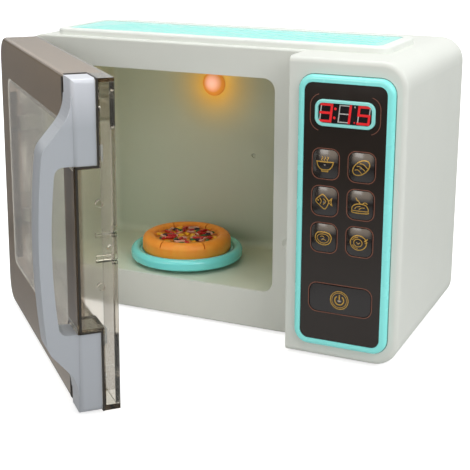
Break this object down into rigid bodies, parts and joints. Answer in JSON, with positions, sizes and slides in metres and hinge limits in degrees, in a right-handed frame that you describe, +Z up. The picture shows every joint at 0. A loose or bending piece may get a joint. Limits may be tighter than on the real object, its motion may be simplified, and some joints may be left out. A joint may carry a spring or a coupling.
{
  "type": "toy microwave oven",
  "caption": "Toy microwave oven with a hinged smoke-clear door and bow handle, a spinning plate with a pizza, sprung food keys and a rear battery lid.",
  "frame": {"origin": "on the floor at the middle of the sole of the front left foot, which is the mount base", "axes": "+X to the right seen from the front, +Y to the back, +Z up; the door and the keys face -Y"},
  "size_m": [0.292, 0.2893, 0.1957],
  "materials": {
    "casing": "satin",
    "tub": "satin",
    "rim": "satin",
    "aqua": "satin",
    "panel": "gloss",
    "keys": "gloss",
    "display": "gloss",
    "mat": "matt",
    "board": "satin",
    "lens": "gloss",
    "speaker": "matt",
    "motor": "satin",
    "shaft": "satin",
    "plate": "satin",
    "crust": "satin",
    "toppings": "satin",
    "box": "satin",
    "steel": "satin",
    "cell": "satin",
    "smoke": "gloss",
    "handle": "satin",
    "rubber": "matt"
  },
  "bodies": {
    "body": {"front_casing": "casing", "rear_cover": "casing", "oven_tub": "tub", "top_rim": "rim", "top_inlay": "aqua", "control_bezel": "aqua", "control_panel": "panel", "display_frame": "aqua", "display_module": "display", "key_mat": "mat", "control_board": "board", "lamp_lens": "lens", "lamp_board": "board", "speaker": "speaker", "turntable_motor": "motor", "battery_box": "box", "contacts_left": "steel", "contacts_right": "steel", "battery_1": "cell", "battery_2": "cell", "battery_3": "cell", "casing_screw_1": "steel", "casing_screw_2": "steel", "casing_screw_3": "steel", "casing_screw_4": "steel", "casing_screw_5": "steel", "casing_screw_6": "steel", "foot_1": "rubber", "foot_2": "rubber", "foot_3": "rubber", "foot_4": "rubber"},
    "door": {"door_cover": "smoke", "door_inner": "smoke", "door_handle": "handle", "handle_screw_1": "steel", "handle_screw_2": "steel", "hinge_pin_low": "steel", "hinge_pin_high": "steel", "door_screw_1": "steel", "door_screw_2": "steel", "door_screw_3": "steel", "door_screw_4": "steel"},
    "turntable": {"turntable_plate": "plate", "drive_shaft": "shaft"},
    "pizza": {"pizza_base": "crust", "pizza_toppings": "toppings"},
    "battery_lid": {"battery_door": "casing", "battery_door_screw": "steel"},
    "key_1_body": {"key_1": "keys"},
    "key_2_body": {"key_2": "keys"},
    "key_3_body": {"key_3": "keys"},
    "key_4_body": {"key_4": "keys"},
    "key_5_body": {"key_5": "keys"},
    "key_6_body": {"key_6": "keys"},
    "key_power_body": {"key_power": "keys"}
  },
  "joints": [
    {"name": "door_hinge", "type": "hinge", "parent": "body", "child": "door", "pos_m": [-0.0191, -0.0186, 0.0965], "axis": [0, 0, -1], "range_deg": [-44, 54]},
    {"name": "turntable_spin", "type": "hinge", "parent": "body", "child": "turntable", "pos_m": [0.0805, 0.034, 0.0305], "axis": [0, 0, 1], "continuous": true},
    {"name": "pizza_lift", "type": "slide", "parent": "turntable", "child": "pizza", "axis": [0, 0, 1], "range_m": [0, 0.05]},
    {"name": "battery_lid_off", "type": "slide", "parent": "body", "child": "battery_lid", "axis": [0, 1, 0], "range_m": [0, 0.02]},
    {"name": "key_1_press", "type": "slide", "parent": "body", "child": "key_1_body", "axis": [0, 1, 0], "range_m": [0, 0.0012], "stiffness_N_per_m": 400, "springref_m": -0.0006},
    {"name": "key_2_press", "type": "slide", "parent": "body", "child": "key_2_body", "axis": [0, 1, 0], "range_m": [0, 0.0012], "stiffness_N_per_m": 400, "springref_m": -0.0006},
    {"name": "key_3_press", "type": "slide", "parent": "body", "child": "key_3_body", "axis": [0, 1, 0], "range_m": [0, 0.0012], "stiffness_N_per_m": 400, "springref_m": -0.0006},
    {"name": "key_4_press", "type": "slide", "parent": "body", "child": "key_4_body", "axis": [0, 1, 0], "range_m": [0, 0.0012], "stiffness_N_per_m": 400, "springref_m": -0.0006},
    {"name": "key_5_press", "type": "slide", "parent": "body", "child": "key_5_body", "axis": [0, 1, 0], "range_m": [0, 0.0012], "stiffness_N_per_m": 400, "springref_m": -0.0006},
    {"name": "key_6_press", "type": "slide", "parent": "body", "child": "key_6_body", "axis": [0, 1, 0], "range_m": [0, 0.0012], "stiffness_N_per_m": 400, "springref_m": -0.0006},
    {"name": "key_power_press", "type": "slide", "parent": "body", "child": "key_power_body", "axis": [0, 1, 0], "range_m": [0, 0.0012], "stiffness_N_per_m": 600, "springref_m": -0.0006}
  ]
}
